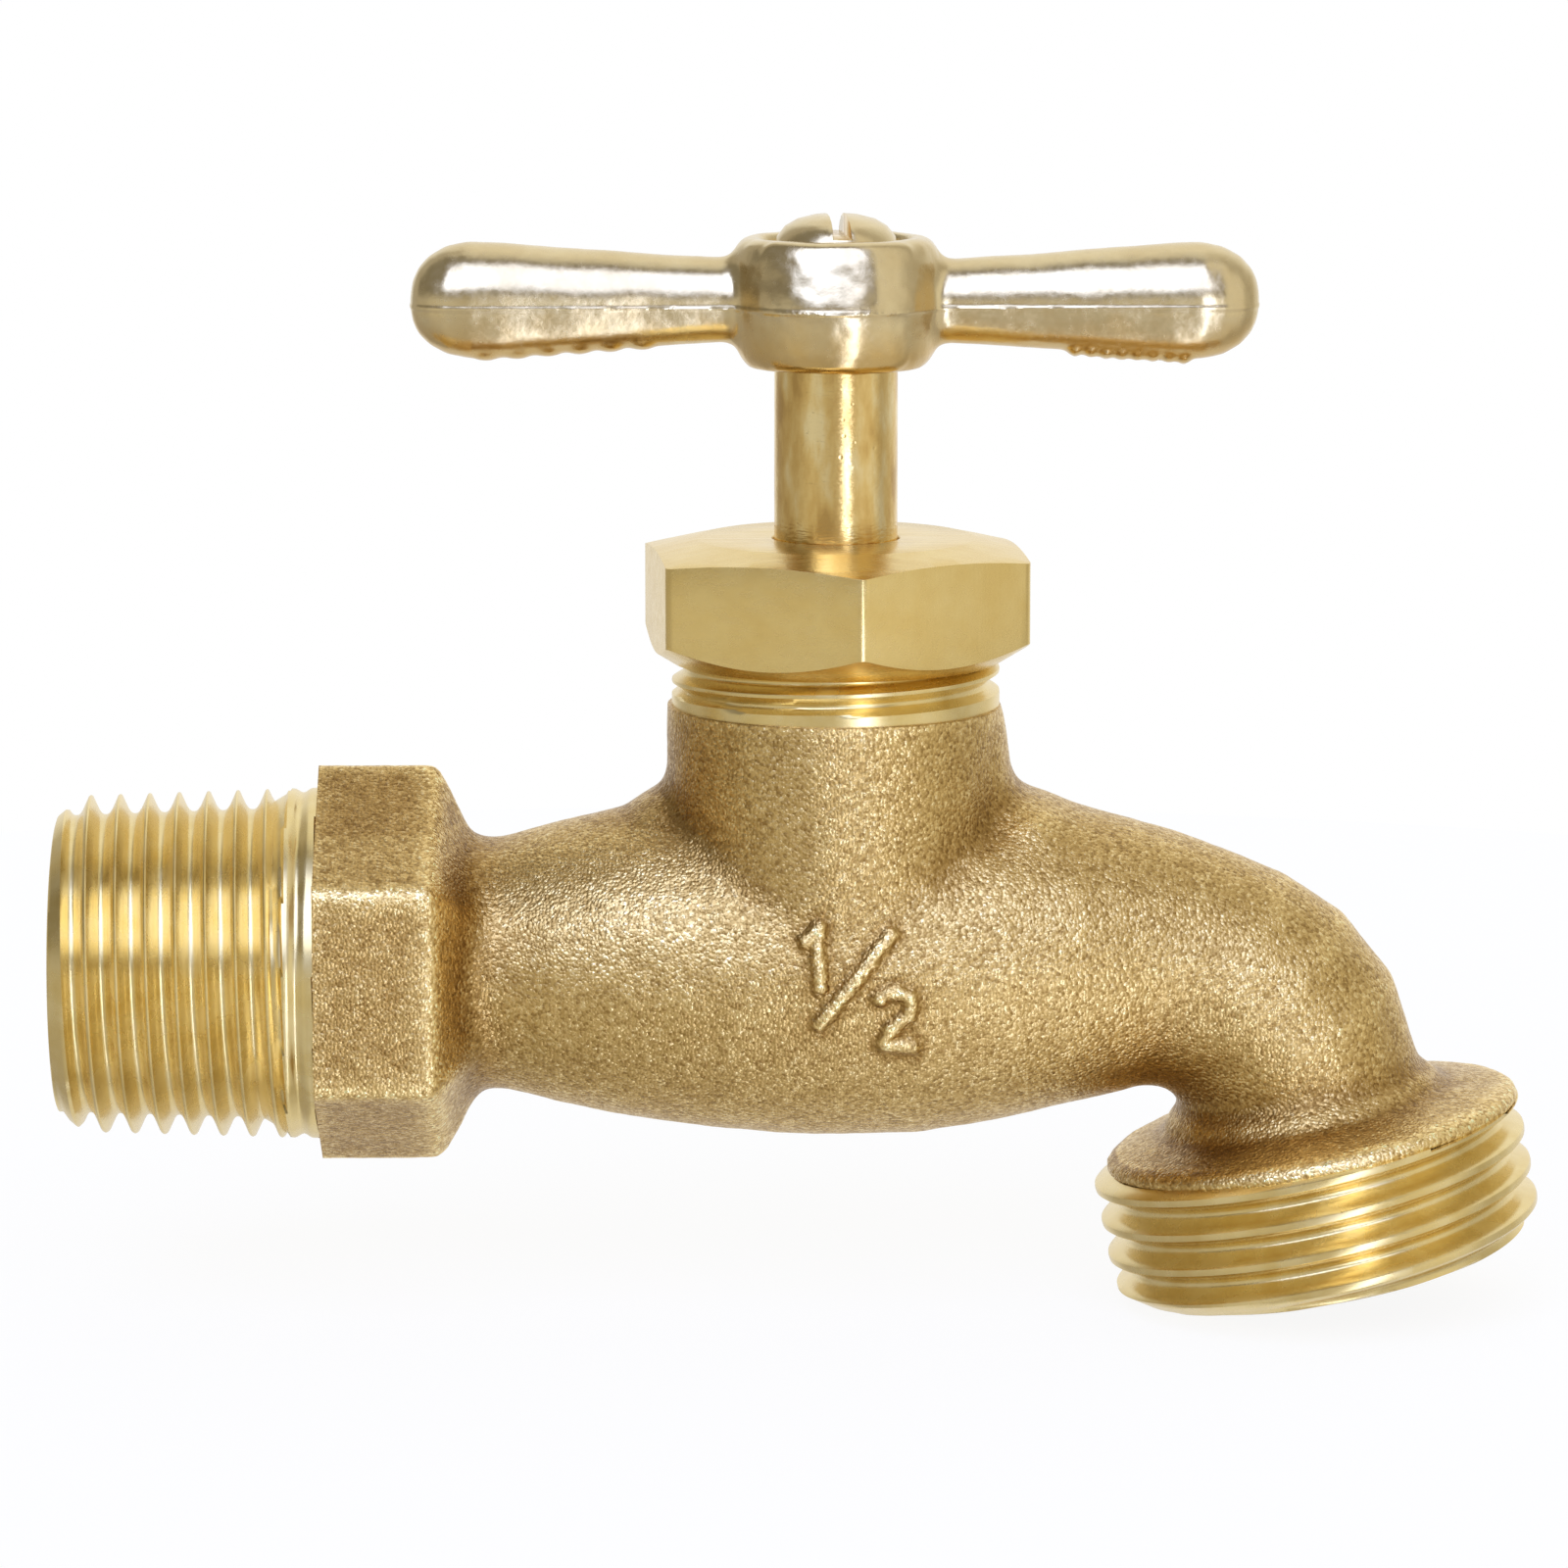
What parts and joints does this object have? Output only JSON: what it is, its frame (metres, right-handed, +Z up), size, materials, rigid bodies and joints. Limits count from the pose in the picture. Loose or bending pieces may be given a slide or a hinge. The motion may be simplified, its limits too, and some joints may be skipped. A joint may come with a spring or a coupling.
{
  "type": "hose bibb",
  "caption": "Brass outdoor tap with a tee handle: tapered pipe thread and hexagon at the inlet, globe body, packing nut, and a bent spout with a hose thread.",
  "frame": {"origin": "centre of the end face of the inlet's pipe thread", "axes": "+X along the inlet towards the spout, +Z up along the stem, -Y out of the front"},
  "size_m": [0.0918, 0.027, 0.0676],
  "materials": {
    "cast_brass": "sand cast, matt and grainy, machined at its threads",
    "turned_brass": "turned, bright",
    "plated_casting": "die cast, softly shiny pale plating",
    "washer_rubber": "plain black rubber",
    "packing_plastic": "off-white packing"
  },
  "bodies": {
    "tap_body": {"body": "cast_brass", "packing_washer": "turned_brass", "packing_ring": "packing_plastic", "packing_nut": "turned_brass"},
    "rising_washer": {"seat_washer": "washer_rubber"},
    "turning_stem": {"stem": "turned_brass", "seat_screw": "turned_brass", "handle": "plated_casting", "handle_screw": "plated_casting"}
  },
  "joints": [
    {"name": "stem_lift", "type": "slide", "parent": "tap_body", "child": "rising_washer", "axis": [0, 0, 1], "range_m": [0, 0.00636]},
    {"name": "handle_turn", "type": "hinge", "parent": "rising_washer", "child": "turning_stem", "pos_m": [0.04803, 0, 0.0409], "axis": [0, 0, 1], "range_deg": [0, 900]}
  ],
  "couplings": [
    {"joint": "stem_lift", "follows": "handle_turn", "m_per_rad": 0.00040425}
  ]
}
